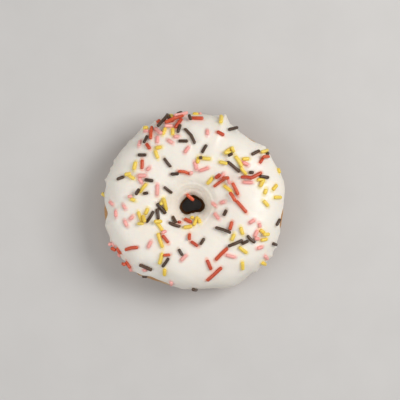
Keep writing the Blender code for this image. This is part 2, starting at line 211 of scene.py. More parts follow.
# %% [markdown]
# Nothing baked or poured is perfectly even.  A field made of a few dozen sine waves in
# random directions, all of one wavelength, gives smooth lumps of a chosen size.  It needs no
# texture and comes out the same each time, because its directions come from a seeded
# generator.

# %% A field of soft lumps
def lumps(points, wavelength, seed, waves=22):
    """Sum of sin(k.p + phase) over random directions k of length 2 pi / wavelength."""
    rng = np.random.default_rng(seed)
    k = rng.normal(size=(waves, 3))
    k *= 2.0 * math.pi / (wavelength * np.linalg.norm(k, axis=1)[:, None])
    phase = rng.uniform(0.0, 2.0 * math.pi, waves)
    total = np.zeros(points.shape[:-1])
    for direction, start in zip(k, phase):
        total += np.sin(points @ direction + start)
    return total / math.sqrt(0.5 * waves)


# Lumps of the dough: height everywhere, more height on its sides, wavelength and seed.
DOUGH_LUMPS = [(0.12, 0.30, 21.0, 1), (0.0, 0.10, 7.0, 2), (0.0, 0.035, 2.6, 3)]
LINE_DEPTH = 0.22                 # the proof line round the belly is a shallow groove
LINE_WIDTH = 1.6
LINE_WANDER = 0.5


def settle(height, softness=0.3):
    """Press what lies below the table flat: (z + sqrt(z^2 + s^2)) / 2, a rounded max(z, 0)."""
    return 0.5 * (height + np.sqrt(height * height + softness * softness))


def dough_skin(theta, angle):
    """The dough's surface with its unevenness, and its normals, in the frame's place.

    Lumps and the groove exp(-((z - belly) / width)^2) move each point along its normal.
    """
    points, normals = plain_dough(theta, angle)
    side = 1.0 - np.clip(normals[:, :, 2], 0.0, 1.0)
    uneven = sum((even + more * side) * lumps(points, wavelength, seed)
                 for even, more, wavelength, seed in DOUGH_LUMPS)
    belly = BELLY_LIFT + LINE_WANDER * lumps(points, 16.0, 4)
    line = np.exp(-((points[:, :, 2] - belly) / LINE_WIDTH) ** 2)
    points = points + normals * (uneven - LINE_DEPTH * line)[:, :, None]
    points[:, :, 2] = settle(points[:, :, 2])
    points[:, :, :2] += PLACE
    return points, normals


sample = lumps(np.random.default_rng(0).uniform(-40.0, 40.0, (1000, 3)), 7.0, 2)
print("lumps range from", round(float(sample.min()), 2), "to", round(float(sample.max()), 2))

# %% [markdown]
# Dough and icing are both closed rings with a closed section, so one rule gives the faces of
# either: every point of the grid is joined to the next one along and the next one round, and
# the last ones are joined to the first.  A whole mesh then goes in with one call.  Numbers
# that the finishes need at each point, such as how thin the icing is, go in as attributes.

# %% Meshes from grids
def ring_faces(rows, columns):
    """Quads of a grid that closes on itself both ways, facing out, as an array."""
    i, j = np.meshgrid(np.arange(rows), np.arange(columns), indexing="ij")
    k, m = (i + 1) % rows, (j + 1) % columns
    corners = [i * columns + j, k * columns + j, k * columns + m, i * columns + m]
    return np.stack(corners, axis=-1).reshape(-1, 4)


def make_object(name, points, faces, material):
    """Put a mesh, given in millimetres, in the scene as a piece that rides with the part."""
    mesh = bpy.data.meshes.new(name)
    mesh.from_pydata((points.reshape(-1, 3) * MM).tolist(), [], faces)
    mesh.shade_smooth()
    mesh.materials.append(material)
    piece = bpy.data.objects.new(name, mesh)
    bpy.context.scene.collection.objects.link(piece)
    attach(piece, "root")
    print(name, "has", len(mesh.polygons), "faces")
    return piece


def float_attribute(mesh, name, values):
    """Store one number for every vertex."""
    layer = mesh.attributes.new(name, "FLOAT", "POINT")
    layer.data.foreach_set("value", np.ascontiguousarray(values, dtype=np.float32).ravel())


def colour_attribute(mesh, name, colours):
    """Store one colour for every vertex."""
    layer = mesh.attributes.new(name, "FLOAT_COLOR", "POINT")
    full = np.concatenate([colours, np.ones((*colours.shape[:-1], 1))], axis=-1)
    layer.data.foreach_set("color", np.ascontiguousarray(full, dtype=np.float32).ravel())


print("a ring of 4 by 3 points has", len(ring_faces(4, 3)), "quads")

# %% [markdown]
# Two node groups are shared by the finishes.  "soft_noise" gives a mask with a chosen
# feature size, and "pits" gives small round craters, which frying leaves in a crust and
# bubbles leave in icing.  Both read object coordinates, so the pattern stays on the piece
# when it moves.

# %% Shared node groups
def new_group(name, inputs, outputs):
    """An empty shader node group with float sockets and object coordinates inside."""
    group = bpy.data.node_groups.new(name, "ShaderNodeTree")
    for label, value in inputs:
        socket = group.interface.new_socket(label, in_out="INPUT", socket_type="NodeSocketFloat")
        socket.default_value = value
    for label in outputs:
        group.interface.new_socket(label, in_out="OUTPUT", socket_type="NodeSocketFloat")
    coords = group.nodes.new("ShaderNodeTexCoord")
    return group, group.nodes.new("NodeGroupInput"), coords, group.nodes.new("NodeGroupOutput")


def soft_noise_group():
    """Noise stretched between two levels: clip((noise - low) / (high - low), 0, 1)."""
    group, given, coords, result = new_group(
        "soft_noise", [("Scale", 200.0), ("Detail", 3.0), ("Low", 0.35), ("High", 0.65)], ["Mask"])
    noise = group.nodes.new("ShaderNodeTexNoise")
    span = group.nodes.new("ShaderNodeMapRange")
    link = group.links.new
    link(coords.outputs["Object"], noise.inputs["Vector"])
    link(given.outputs["Scale"], noise.inputs["Scale"])
    link(given.outputs["Detail"], noise.inputs["Detail"])
    link(noise.outputs["Fac"], span.inputs["Value"])
    link(given.outputs["Low"], span.inputs["From Min"])
    link(given.outputs["High"], span.inputs["From Max"])
    link(span.outputs["Result"], result.inputs["Mask"])
    return group


def pits_group():
    """Craters: 0 at the middle of every random cell, rising smoothly to 1 at the radius."""
    group, given, coords, result = new_group(
        "pits", [("Scale", 300.0), ("Radius", 0.3)], ["Height"])
    cells = group.nodes.new("ShaderNodeTexVoronoi")
    span = group.nodes.new("ShaderNodeMapRange")
    span.interpolation_type = "SMOOTHSTEP"
    link = group.links.new
    link(coords.outputs["Object"], cells.inputs["Vector"])
    link(given.outputs["Scale"], cells.inputs["Scale"])
    link(cells.outputs["Distance"], span.inputs["Value"])
    link(given.outputs["Radius"], span.inputs["From Max"])
    link(span.outputs["Result"], result.inputs["Height"])
    return group


SOFT_NOISE = soft_noise_group()
PITS = pits_group()
print("node groups:", [group.name for group in bpy.data.node_groups])

# %% [markdown]
# A finish is a chain of small steps: take a mask, stretch it, mix two colours by it.  The
# same chain could be drawn by hand in the node editor.  These helpers each place one node and
# join it up, and give back its output, so a finish below reads from top to bottom.

# %% Helpers for materials
def new_material(name):
    """A material with one Principled shader; returns it, its node tree and the shader."""
    material = bpy.data.materials.new(name)
    material.use_nodes = True
    tree = material.node_tree
    return material, tree, tree.nodes["Principled BSDF"]


def use_group(tree, group, **values):
    """Place a node group in a tree with its own values."""
    node = tree.nodes.new("ShaderNodeGroup")
    node.node_tree = group
    for label, value in values.items():
        node.inputs[label].default_value = value
    return node


def mix_colour(tree, factor, first, second, blend="MIX"):
    """A colour mix; each argument is a socket or a plain value."""
    node = tree.nodes.new("ShaderNodeMix")
    node.data_type = "RGBA"
    node.blend_type = blend
    for socket, value in zip((node.inputs[0], node.inputs[6], node.inputs[7]),
                             (factor, first, second)):
        if isinstance(value, bpy.types.NodeSocket):
            tree.links.new(value, socket)
        else:
            socket.default_value = value if isinstance(value, float) else (*value, 1.0)
    return node.outputs[2]


def arithmetic(tree, operation, *values):
    """A math node; each value is a socket or a number."""
    node = tree.nodes.new("ShaderNodeMath")
    node.operation = operation
    for socket, value in zip(node.inputs, values):
        if isinstance(value, bpy.types.NodeSocket):
            tree.links.new(value, socket)
        else:
            socket.default_value = value
    return node.outputs[0]


def spread(tree, value, low, high, start, end, smooth=True):
    """Map a value from low..high to start..end, smoothly and clamped."""
    node = tree.nodes.new("ShaderNodeMapRange")
    node.interpolation_type = "SMOOTHSTEP" if smooth else "LINEAR"
    tree.links.new(value, node.inputs["Value"])
    settings = zip(("From Min", "From Max", "To Min", "To Max"), (low, high, start, end))
    for label, number in settings:
        node.inputs[label].default_value = number
    return node.outputs["Result"]


def bump(tree, height, distance, before=None):
    """A bump node; distance is the depth in metres that a height of 1 stands for."""
    node = tree.nodes.new("ShaderNodeBump")
    node.inputs["Strength"].default_value = 1.0
    node.inputs["Distance"].default_value = distance
    tree.links.new(height, node.inputs["Height"])
    if before is not None:
        tree.links.new(before, node.inputs["Normal"])
    return node.outputs["Normal"]


print("each helper places one node and gives back its output")

# %% [markdown]
# The crust is darkest where the dough met the hot oil longest, on its flat faces, and pale in
# a line round the belly that stayed above the oil both times.  The height above the table
# gives that band directly; noise bends its edges and mottles the brown.  The wall of the
# hole is painted nearly black, as painted shade for the shadow deep in the hole, and an
# attribute on the dough says how much.  A painted map could do the same, but a rule in
# object coordinates has no seams and works at any distance.

# %% Fried crust
DEEP_BROWN = (0.190, 0.066, 0.017)
GOLDEN_BROWN = (0.400, 0.165, 0.043)
LIGHT_GOLD = (0.600, 0.320, 0.105)
PALE_DOUGH = (0.780, 0.540, 0.260)
# painted shade: the near-black brown of the hole's wall stands in for the shadow deep in the hole
HOLE_SHADOW_BROWN = (0.100, 0.034, 0.010)
BAND_WANDER = 0.0045                      # how far noise bends the band's edges, in metres


def crust_material():
    """Golden-brown crust: brown by height, mottled, with craters and fine wrinkles, and painted
    shade darkening the wall of the hole.
    """
    material, tree, shader = new_material("fried_crust")
    coords = tree.nodes.new("ShaderNodeTexCoord")
    split = tree.nodes.new("ShaderNodeSeparateXYZ")
    tree.links.new(coords.outputs["Object"], split.inputs[0])
    broad = use_group(tree, SOFT_NOISE, Scale=55.0, Detail=4.0, Low=0.3, High=0.7).outputs[0]
    fine = use_group(tree, SOFT_NOISE, Scale=420.0, Detail=5.0, Low=0.3, High=0.7).outputs[0]
    specks = use_group(tree, SOFT_NOISE, Scale=900.0, Detail=2.0, Low=0.56, High=0.70).outputs[0]
    shift = arithmetic(tree, "MULTIPLY_ADD", broad, BAND_WANDER, -0.5 * BAND_WANDER)
    height = arithmetic(tree, "ADD", shift, split.outputs["Z"])
    from_line = arithmetic(tree, "SUBTRACT", height, BELLY_LIFT * MM)
    from_line = arithmetic(tree, "ABSOLUTE", from_line)
    pale = spread(tree, from_line, 0.0016, 0.0052, 1.0, 0.0)
    under = spread(tree, height, 0.0, 0.0065, 1.0, 0.0)
    brown = mix_colour(tree, broad, GOLDEN_BROWN, LIGHT_GOLD)
    brown = mix_colour(tree, arithmetic(tree, "MULTIPLY", under, 0.75), brown, DEEP_BROWN)
    colour = mix_colour(tree, arithmetic(tree, "MULTIPLY", pale, 0.85), brown, PALE_DOUGH)
    colour = mix_colour(tree, arithmetic(tree, "MULTIPLY", fine, 0.35), colour, GOLDEN_BROWN)
    colour = mix_colour(tree, arithmetic(tree, "MULTIPLY", specks, 0.35), colour, DEEP_BROWN)
    # painted shade: this attribute darkens the wall of the hole, where its shadow falls
    hole_shade = tree.nodes.new("ShaderNodeAttribute")
    hole_shade.attribute_name = "hole_shade"
    colour = mix_colour(tree, hole_shade.outputs["Fac"], colour, HOLE_SHADOW_BROWN)
    tree.links.new(colour, shader.inputs["Base Color"])
    tree.links.new(spread(tree, fine, 0.0, 1.0, 0.62, 0.42), shader.inputs["Roughness"])
    craters = use_group(tree, PITS, Scale=330.0, Radius=0.32).outputs[0]
    wrinkles = use_group(tree, SOFT_NOISE, Scale=700.0, Detail=6.0, Low=0.2, High=0.8).outputs[0]
    normal = bump(tree, craters, 0.00010)
    normal = bump(tree, wrinkles, 0.00016, normal)
    tree.links.new(normal, shader.inputs["Normal"])
    shader.inputs["Specular IOR Level"].default_value = 0.45
    shader.inputs["Subsurface Weight"].default_value = 0.08
    shader.inputs["Subsurface Radius"].default_value = (0.0016, 0.0008, 0.0004)
    shader.inputs["Subsurface Scale"].default_value = 1.0
    return material


CRUST = crust_material()
print("made", CRUST.name)

# %% [markdown]
# The dough is one piece, so it is one grid: sections round the ring by points round each
# section.  The points are set closer together on the bare part, where they are seen, than
# under the icing.  The icing's two edges decide where that change comes, so they are worked
# out first.

# %% Edges of the icing
OUTER_EDGE = -4.0                 # degrees of section, from the widest line
INNER_EDGE = 177.0
# Waves of the edges: size in degrees, how many go round the ring, phase.
OUTER_WAVES = [(3.0, 3.0, 0.7), (2.0, 7.0, 2.0), (0.9, 23.0, 1.0), (0.6, 41.0, 0.0)]
INNER_WAVES = [(3.0, 2.0, 1.0), (2.0, 5.0, 0.0)]


def wavy(theta, level, waves):
    """Level plus a sum of sines, size * sin(count * theta + phase)."""
    for size, count, phase in waves:
        level = level + size * np.sin(count * theta + phase)
    return level


def edge_angles(theta):
    """Section angles of the icing's outer and inner edges: sines plus windows and runs."""
    outer = wavy(theta, OUTER_EDGE, OUTER_WAVES)
    inner = wavy(theta, INNER_EDGE, INNER_WAVES)
    for centre, half, bare, _ in CRUST_WINDOWS:
        outer = outer + bare * window(theta, centre, half)
    for centre, half, run in RUNS:
        outer = outer - run * window(theta, centre, half)
    return np.radians(outer), np.radians(inner)


def angle_grid(start, end, share):
    """Section angles spread from start to end by the given shares."""
    return start[:, None] + (end - start)[:, None] * share


edge_sample = edge_angles(np.linspace(0.0, 2.0 * math.pi, 360))[0]
print("outer edge lies at", np.round(np.degrees([edge_sample.min(), edge_sample.max()])), "degrees")

# %% The fried dough
WALL_FOOT = 250.0                 # degrees of section where the wall of the hole ends


def make_dough(around=420, hidden=24, wall=80, side=90):
    """The fried ring, one closed grid: hidden part, wall of the hole, underside and side."""
    theta = np.linspace(0.0, 2.0 * math.pi, around, endpoint=False)
    outer, inner = edge_angles(theta)
    foot = np.full(around, math.radians(WALL_FOOT))
    parts = [(outer, inner, hidden), (inner, foot, wall), (foot, outer + 2.0 * math.pi, side)]
    angle = [angle_grid(start, end, np.linspace(0.0, 1.0, count, endpoint=False))
             for start, end, count in parts]
    angle = np.concatenate(angle, axis=1)
    points, _ = dough_skin(theta, angle)
    faces = ring_faces(around, hidden + wall + side).tolist()
    dough = make_object("fried_dough", points, faces, CRUST)
    # painted shade: how far the wall of the hole is darkened to stand in for the shadow in it
    float_attribute(dough.data, "hole_shade", 0.9 * np.clip(-2.5 * np.cos(angle) - 0.3, 0.0, 1.0))
    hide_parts("dough_ring")


make_dough()

# %% [markdown]
# The icing is a thin film on the dough.  Surface tension rounds its edge, so its depth rises
# from nothing as the top of a circle does, d = D sqrt(1 - (1 - s/r)^2), over the first
# millimetre and a half from the edge.  It is dipped face down and turned over, so it pools
# slightly in the hole, runs down where there was most of it, and leaves faint rings in the
# funnel.

# %% Depth of the icing
def along_section(points):
    """Distance along each section from its first point, and back from its last."""
    steps = np.linalg.norm(np.diff(points, axis=1), axis=2)
    run = np.concatenate([np.zeros((len(points), 1)), np.cumsum(steps, axis=1)], axis=1)
    return run, run[:, -1:] - run


def rounded_edge(distance, radius):
    """Height of a quarter circle's top at a distance from the edge, 0 to 1."""
    left = 1.0 - np.clip(distance / radius, 0.0, 1.0)
    return np.sqrt(np.clip(1.0 - left * left, 0.0, 1.0))


# Faint rings in the funnel: distance from the hole's centre, height and width.
RIPPLES = [(7.0, 0.08, 0.45), (8.5, 0.13, 0.40), (9.4, -0.12, 0.50), (11.7, 0.16, 0.40),
           (12.6, -0.12, 0.50), (14.6, 0.07, 0.60)]
TOP_DEPTH = 0.22                  # the icing is this much deeper where it lies flat
# Its soft waves there: height, wavelength and seed.
TOP_WAVES = [(0.09, 15.0, 5), (0.03, 5.5, 6)]
TIP_SIZE = 0.16                   # half size of a torn tip in section angle, in radians


def icing_depth(theta, angle, points, normals):
    """Depth of the icing: the film, what reaches the two outlines, waves, rings and tips.

    The ring of dough is smoother than the icing's outlines.  Their difference is added to the
    film on the sides, by the square of the cosine of the section angle.
    """
    from_rim, from_hole = along_section(points)
    rim, hole = dough_outlines(theta)
    at_rim = radius_at(theta, RIM_TABLE) - rim - ICING_DEPTH
    at_hole = hole - ICING_DEPTH - radius_at(theta, HOLE_TABLE)
    outside = np.clip(np.cos(angle), 0.0, 1.0) ** 2
    inside = np.clip(-np.cos(angle), 0.0, 1.0) ** 2
    depth = ICING_DEPTH + at_rim[:, None] * outside + at_hole[:, None] * inside
    flat = np.clip(normals[:, :, 2], 0.0, 1.0)
    waves = TOP_DEPTH
    for height, wavelength, seed in TOP_WAVES:
        waves = waves + height * lumps(points, wavelength, seed)
    depth += flat * waves
    offset = points[:, :, :2] - PLACE - np.array(HOLE_CENTRE)
    reach = np.hypot(offset[:, :, 0], offset[:, :, 1])
    lit = 0.8 + 0.2 * np.cos(np.arctan2(offset[:, :, 1], offset[:, :, 0]) - 0.8)
    for ring, height, width in RIPPLES:
        depth += height * lit * np.exp(-((reach - ring) / width) ** 2)
    for direction, half, height_angle, height in TIPS:
        here = window(theta, direction, half)[:, None]
        depth += height * here * np.exp(-((angle - math.radians(height_angle)) / TIP_SIZE) ** 2)
    depth = np.clip(depth, 0.7, 5.0)
    return depth * rounded_edge(from_rim, BEAD) * rounded_edge(from_hole, BEAD)


print("the rings in the funnel reach", max(ring for ring, _, _ in RIPPLES), "mm from its middle")

# %% Icing surface, still bare
ICING_AROUND = 680
ICING_ACROSS = 129
LEAST_DEPTH = 0.04                # no part of the icing is thinner than this
OFF_THE_DOUGH = 0.02              # its underside lies this far off the dough


def icing_shares(count):
    """Shares from 0 to 1 that lie closer together near both ends."""
    even = np.linspace(0.0, 1.0, count)
    return 0.6 * even + 0.2 * (1.0 - np.cos(math.pi * even))


def icing_surface(around, across):
    """The top of the icing and, at every eighth point, its underside on the dough."""
    theta = np.linspace(0.0, 2.0 * math.pi, around, endpoint=False)
    outer, inner = edge_angles(theta)
    angle = angle_grid(outer, inner, icing_shares(across))
    points, normals = dough_skin(theta, angle)
    depth = LEAST_DEPTH + icing_depth(theta, angle, points, normals)
    keep = np.arange(0, across, 8)
    under = points[:, keep] + OFF_THE_DOUGH * normals[:, keep]
    return points + normals * depth[:, :, None], under, normals


ICING_TOP, ICING_UNDER, ICING_LEAN = icing_surface(ICING_AROUND, ICING_ACROSS)
print("icing spans", np.round(ICING_TOP.min(axis=(0, 1)), 1), "to",
      np.round(ICING_TOP.max(axis=(0, 1)), 1))

# %% [markdown]
# Sugar strands are extruded like noodles and broken up, so each is a short rod about 1.7 mm
# thick, straight or slightly bent, with blunt rounded ends.  The longest ones are in the
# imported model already, one node each.  Their centre lines are read back from those nodes, so
# that the finished strands lie where the model has them.  Every vertex ring of a rod is
# centred on its line, so a parabola fitted through all its vertices is that line.

# %% Centre lines of the strands in the frame
COLOURS = ("red", "brown", "yellow", "pink")
SHARES = np.linspace(-1.0, 1.0, 9)


def curve_points(ends_and_middle, shares):
    """Points of the parabola through start, middle and end, for shares from -1 to 1."""
    start, middle, end = (ends_and_middle[..., None, k, :] for k in range(3))
    u = np.asarray(shares)[:, None]
    return middle + 0.5 * (end - start) * u + (0.5 * (start + end) - middle) * u * u


def line_of_node(name):
    """Start, middle and end of a rod-shaped node's centre line, in millimetres."""
    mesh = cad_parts[name].data
    corners = np.empty(3 * len(mesh.vertices))
    mesh.vertices.foreach_get("co", corners)
    corners = corners.reshape(-1, 3) / MM
    middle = corners.mean(axis=0)
    _, _, axes = np.linalg.svd(corners - middle, full_matrices=False)
    run = (corners - middle) @ axes[0]
    low, high = run.min(), run.max()
    spots = np.array([low, 0.5 * (low + high), high])
    bends = [np.polyval(np.polyfit(run, (corners - middle) @ axis, 2), spots) for axis in axes[1:]]
    return middle + spots[:, None] * axes[0] + bends[0][:, None] * axes[1] + \
        bends[1][:, None] * axes[2]


LONG_NODES = {colour: sorted(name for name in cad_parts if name.startswith("strand_" + colour))
              for colour in COLOURS}
LONG_LINES = {colour: np.array([line_of_node(name) for name in names])
              for colour, names in LONG_NODES.items()}
print("strands in the frame:", {colour: len(lines) for colour, lines in LONG_LINES.items()})

# %% [markdown]
# The shorter strands between them are listed as x, y, heading in degrees and length as seen
# from above.  A random scatter would be quicker to write, but it would never give this
# ring's own clusters: pinks and yellows lie thick on the left shoulder, reds on the right.

# %% Shorter strands
SHORT_RED = [
    (-23.1, 28.1, -55, 3.4), (-8.7, 42.4, 22, 7.4), (-7.8, 39.8, 56, 5.8), (-17.9, 40.8, 30, 2.5),
    (34.1, 21.1, 60, 3.5), (36.4, 22.8, 5, 3.0), (12.0, 13.0, 40, 3.5), (16.0, 12.2, 0, 3.0),
    (19.4, 2.6, -58, 5.5), (26.4, 12.4, -3, 5.8), (-7.4, -10.2, 0, 1.8), (-3.0, -9.4, -25, 4.0),
    (-2.2, -17.5, 88, 3.2), (-13.6, -26.7, 3, 3.6), (-33.4, -31.8, -55, 4.2),
    (-38.1, -24.8, -55, 4.0), (-40.9, -24.0, -35, 2.6), (-34.5, -30.7, -10, 2.2),
    (-11.7, 41.2, 26, 6.0)]
SHORT_BROWN = [
    (-24.4, 31.6, 65, 4.2), (-15.7, 40.9, 50, 8.0), (-13.2, 43.2, -60, 3.2),
    (-7.5, 37.0, 72, 4.5), (-5.4, 30.7, 0, 4.9), (-9.7, 14.2, 3, 4.2), (18.3, 23.8, 30, 2.8),
    (3.4, 22.4, 0, 1.8), (28.9, 14.9, 0, 2.6), (35.5, 12.7, -8, 4.8), (37.3, 24.4, 60, 1.8),
    (-24.3, 4.4, 8, 2.7), (-18.3, -6.0, -83, 5.7), (-9.9, -8.9, -62, 3.8), (15.7, -5.4, 65, 3.5),
    (25.7, -20.3, 25, 4.0), (42.6, -10.2, 60, 4.0), (40.9, -21.4, -22, 3.0),
    (-6.7, -25.3, -58, 4.0), (-24.8, -38.4, -20, 2.4), (0.3, -45.8, -25, 4.0),
    (-2.0, 42.6, -70, 3.0), (-7.3, 45.1, 20, 3.2)]
SHORT_YELLOW = [
    (-10.8, 35.5, 90, 3.6), (-17.8, 27.5, 8, 3.2), (-18.8, 24.0, -70, 4.5),
    (-29.8, 18.3, 78, 4.3), (-33.3, 14.0, 10, 3.4), (-30.8, 1.1, -22, 2.6), (-46.3, 3.2, 80, 2.4),
    (-26.8, -10.8, 5, 3.0), (-23.8, -4.7, 68, 3.5), (-25.2, -8.4, -74, 3.6),
    (-16.0, 0.3, 65, 4.0), (-14.5, -1.3, -78, 6.0), (-18.0, -9.8, 2, 4.0), (2.1, 21.1, 80, 3.5),
    (6.2, 22.0, -8, 4.5), (19.6, 26.4, -63, 3.2), (17.0, 24.8, -5, 3.6), (14.8, 19.7, -14, 4.2),
    (25.0, 15.7, -52, 4.8), (26.1, 21.7, 3, 3.6), (35.7, 25.7, 22, 4.8), (43.1, 15.9, -70, 2.8),
    (33.8, 11.0, -5, 4.0), (34.1, 9.3, 65, 3.6), (40.9, 7.4, 50, 3.6), (36.1, 5.3, 70, 3.0),
    (36.3, -0.7, -48, 3.9), (8.1, 10.7, 50, 4.4), (17.0, 6.8, -38, 5.3), (-3.0, -12.5, 8, 4.5),
    (-0.9, -8.0, 0, 2.0), (2.8, -9.5, -70, 2.2), (24.1, -14.5, -72, 4.2), (19.6, -17.7, 68, 3.7),
    (34.5, -14.8, -40, 3.0), (36.5, -16.2, 0, 3.0), (35.4, -18.9, 10, 3.5),
    (35.5, -31.3, -30, 3.1), (-16.7, -28.5, 75, 6.0), (-14.9, -35.5, 88, 3.4),
    (13.7, 42.0, 85, 4.5), (0.9, 47.0, -20, 2.6), (-11.5, 43.7, -40, 3.5), (-24.5, 37.6, 0, 2.5)]
SHORT_PINK = [
    (-24.3, 36.0, 0, 2.5), (-27.6, 29.7, 75, 3.0), (-18.5, 31.5, 90, 3.5),
    (-18.0, 36.0, -42, 4.5), (-12.0, 30.5, -35, 3.0), (-8.8, 33.0, 0, 2.4), (-6.6, 44.3, 22, 7.4),
    (-12.8, 38.5, 0, 4.0), (6.8, 35.2, 90, 2.8), (-3.6, 26.3, 55, 3.8), (-1.4, 14.6, 0, 1.8),
    (-22.9, 16.7, 45, 2.2), (-26.2, 13.3, 0, 4.1), (-26.9, 10.7, -60, 3.5), (-32.2, 2.8, 0, 2.3),
    (-42.0, -0.6, -40, 2.5), (-35.2, -2.4, -60, 2.6), (-39.6, -5.9, -85, 3.2),
    (-31.5, -8.0, 50, 2.4), (-34.4, -10.7, -65, 3.5), (-42.4, -22.8, -50, 2.6),
    (-42.1, -21.0, 35, 2.0), (-38.4, -27.3, -70, 2.0), (-32.2, -34.5, -60, 1.8),
    (-15.0, -15.1, 25, 2.6), (-24.7, -34.4, 20, 2.1), (-11.6, -41.4, 90, 2.8),
    (10.1, -1.3, -40, 2.6), (14.4, -0.2, 20, 2.2), (11.4, -7.1, -50, 3.8), (29.2, -9.8, 32, 3.2),
    (33.2, -11.7, -75, 2.4), (31.4, -15.8, 65, 3.6), (31.9, -18.5, -10, 2.4),
    (33.3, -23.1, 15, 3.0), (36.8, -28.2, -48, 3.0), (25.9, 19.4, -30, 3.5),
    (13.8, 13.2, 42, 3.6), (17.5, 10.9, -75, 4.0), (2.9, 46.6, 10, 1.8)]
SHORT = {"red": SHORT_RED, "brown": SHORT_BROWN, "yellow": SHORT_YELLOW, "pink": SHORT_PINK}
# One red strand is stuck by one end and juts out over the hole: from, to, and its drop.
OVERHANG = ((-3.9, 4.3), (-0.1, 0.8), 1.2)
OVERHANG_SINK = 0.25              # how deep its stuck end lies in the icing
print("shorter strands:", {colour: len(specs) for colour, specs in SHORT.items()})

# %% [markdown]
# A strand dropped on wet icing sinks in a little and then comes to rest on the surface or
# across the strands already there.  A physics run would decide this with forces; here each
# strand starts on the surface along its own slope, and whichever of its ends is too low is
# raised until the whole rod is clear: straight up on top, outwards on the steep sides.
# Strands on the sides stick at different heights and turn as they slide, and one that lies
# at the edge of the hole juts out over it.

# %% The icing as a surface to rest on
SINK = {"red": 0.10, "brown": 0.10, "yellow": 0.20, "pink": 0.25}
FATNESS = {"red": 1.05, "brown": 1.0, "yellow": 1.10, "pink": 1.06}
RAY_START = 60.0                  # well above everything
coarse_top = ICING_TOP[::2, ::2]
top_faces = ring_faces(*coarse_top.shape[:2])
top_faces = top_faces[top_faces[:, 2] % coarse_top.shape[1] != 0]    # the section stays open
ICING_TREE = BVHTree.FromPolygons(coarse_top.reshape(-1, 3).tolist(), top_faces.tolist())


def spot_below(x, y, level=20.0):
    """Point and normal of the icing under a spot, or beside it where the spot is past the rim."""
    spot, normal, _, _ = ICING_TREE.ray_cast(Vector((x, y, RAY_START)), Vector((0.0, 0.0, -1.0)))
    if spot is None:
        spot, normal, _, _ = ICING_TREE.find_nearest(Vector((x, y, level)))
    return np.array(spot), np.array(normal)


print("icing is", round(float(spot_below(0.0, 28.0)[0][2]), 1), "mm up, 28 mm behind the middle")

# %% One strand at rest
HANG_LEVEL = 18.5                 # usual height of a strand stuck on the side
HANG_SPREAD = 3.5
HANG_TURN = 0.7                   # most that it turns there, in radians
LINE_OFF = 0.6                    # a strand's line is about this far off the icing
MOST_STRETCH = 1.5                # a slope makes a strand at most this much longer than it looks
APART = 1.9                       # lines of strands that touch, in strand radii
STEPS = 120                       # most steps in settling a strand
STEP = 0.2                        # the longest of them
TOUCH = 0.02                      # this much overlap is left


def first_line(x, y, heading, length):
    """A strand's line laid on the icing's slope, so that its own middle is over x, y.

    On the steep sides its height and its turn vary with its place, as sines of x and y.
    """
    level = HANG_LEVEL + HANG_SPREAD * math.sin(1.7 * x + 2.3 * y)
    spot, normal = spot_below(x, y, level)
    for _ in range(4):
        spot, normal = spot_below(*(np.array([x, y]) - LINE_OFF * normal[:2]), level)
    plan = np.array([math.cos(math.radians(heading)), math.sin(math.radians(heading)), 0.0])
    plan[2] = -(plan @ normal) / max(normal[2], 0.45)
    stretch = min(float(np.linalg.norm(plan)), MOST_STRETCH)
    along = plan - normal * (plan @ normal)
    along *= 0.5 * stretch * length / np.linalg.norm(along)
    turn = HANG_TURN * np.clip(1.0 - normal[2] / 0.4, 0.0, 1.0) * math.sin(2.1 * x + 0.9 * y)
    along = math.cos(turn) * along + math.sin(turn) * np.cross(normal, along)
    return np.array([spot - along, spot, spot + along]), normal


def clearances(points, others, sink):
    """How far points of a line are too low, against the icing and the other strands."""
    short = np.empty(len(points))
    for number, point in enumerate(points):
        near, outward, _, _ = ICING_TREE.find_nearest(Vector(point))
        short[number] = STRAND_RADIUS - sink - (Vector(point) - near).dot(outward)
    if len(others):
        apart = np.linalg.norm(points[:, None] - others[None], axis=2).min(axis=1)
        short = np.maximum(short, APART * STRAND_RADIUS - apart)
    return short


def settle_strand(spec, others, sink):
    """Raise a strand's ends until its clearances are met; returns start, middle, end.

    It rises straight up on top of the ring, and away from the icing on the steep sides.
    """
    line, normal = first_line(*spec)
    line = line + (STRAND_RADIUS - sink) * normal
    upright = np.clip((normal[2] - 0.3) / 0.3, 0.0, 1.0)
    away = (1.0 - upright) * normal + upright * np.array([0.0, 0.0, 1.0])
    inset = 1.0 - 1.2 * STRAND_RADIUS / max(spec[3], 1.5)
    lift = np.zeros(2)
    for _ in range(STEPS):
        height = 0.5 * (lift[0] * (1.0 - SHARES) + lift[1] * (1.0 + SHARES))
        points = curve_points(line, SHARES * inset) + height[:, None] * away
        short = clearances(points, others, sink)
        worst = int(np.argmax(short))
        if short[worst] <= TOUCH:
            break
        step = min(short[worst], STEP)
        lift += step * np.array([1.0 - SHARES[worst], 1.0 + SHARES[worst]])
    return line + np.array([lift[0], lift.mean(), lift[1]])[:, None] * away


test_line = settle_strand((0.0, 28.0, 20.0, 4.0), np.empty((0, 3)), SINK["brown"])
print("a strand laid there rests", round(float(test_line[1, 2]), 1), "mm up")

# %% All the shorter strands at rest
def overhanging(start, end, drop):
    """A strand that rests on the icing at its start only, and falls by the drop to its end."""
    spot, normal = spot_below(*(np.array(start) + PLACE))
    first = spot + (STRAND_RADIUS - OVERHANG_SINK) * normal
    last = np.array([*(np.array(end) + PLACE), first[2] - drop])
    return np.array([first, 0.5 * (first + last), last])


def settle_all():
    """Settle every shorter strand on the icing and on all the strands placed before it."""
    dots = [curve_points(lines, SHARES).reshape(-1, 3) for lines in LONG_LINES.values()]
    placed = {}
    for colour in ("yellow", "pink", "red", "brown"):
        lines = []
        for x, y, heading, length in SHORT[colour]:
            spec = (x + PLACE[0], y + PLACE[1], heading, length)
            line = settle_strand(spec, np.concatenate(dots), SINK[colour])
            lines.append(line)
            dots.append(curve_points(line, SHARES))
        placed[colour] = np.array(lines)
    placed["red"] = np.concatenate([placed["red"], overhanging(*OVERHANG)[None]])
    return placed


